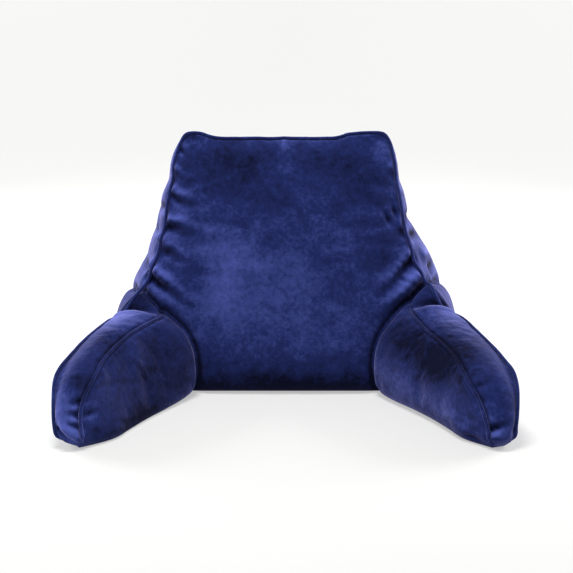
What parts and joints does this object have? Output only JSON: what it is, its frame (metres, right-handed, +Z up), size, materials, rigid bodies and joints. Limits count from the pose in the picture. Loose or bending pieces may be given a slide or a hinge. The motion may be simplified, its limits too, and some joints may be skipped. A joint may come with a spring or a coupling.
{
  "type": "reading pillow with arms",
  "caption": "Filled velvet backrest pillow with side arms that splay forwards, piped along its seams, for sitting up on a bed or floor.",
  "frame": {"origin": "on the surface it stands on, at the middle of the bounding box", "axes": "+X to the right as seen from the front, +Y to the back, +Z up; the arms point towards -Y"},
  "size_m": [0.7704, 0.5053, 0.4762],
  "materials": {
    "velvet": "short-pile navy velvet",
    "piping": "cord covered in the same navy velvet"
  },
  "bodies": {
    "root": {"backrest": "velvet", "arm_left": "velvet", "arm_right": "velvet", "piping_outer": "piping", "piping_inner_left": "piping", "piping_inner_right": "piping"}
  },
  "joints": []
}
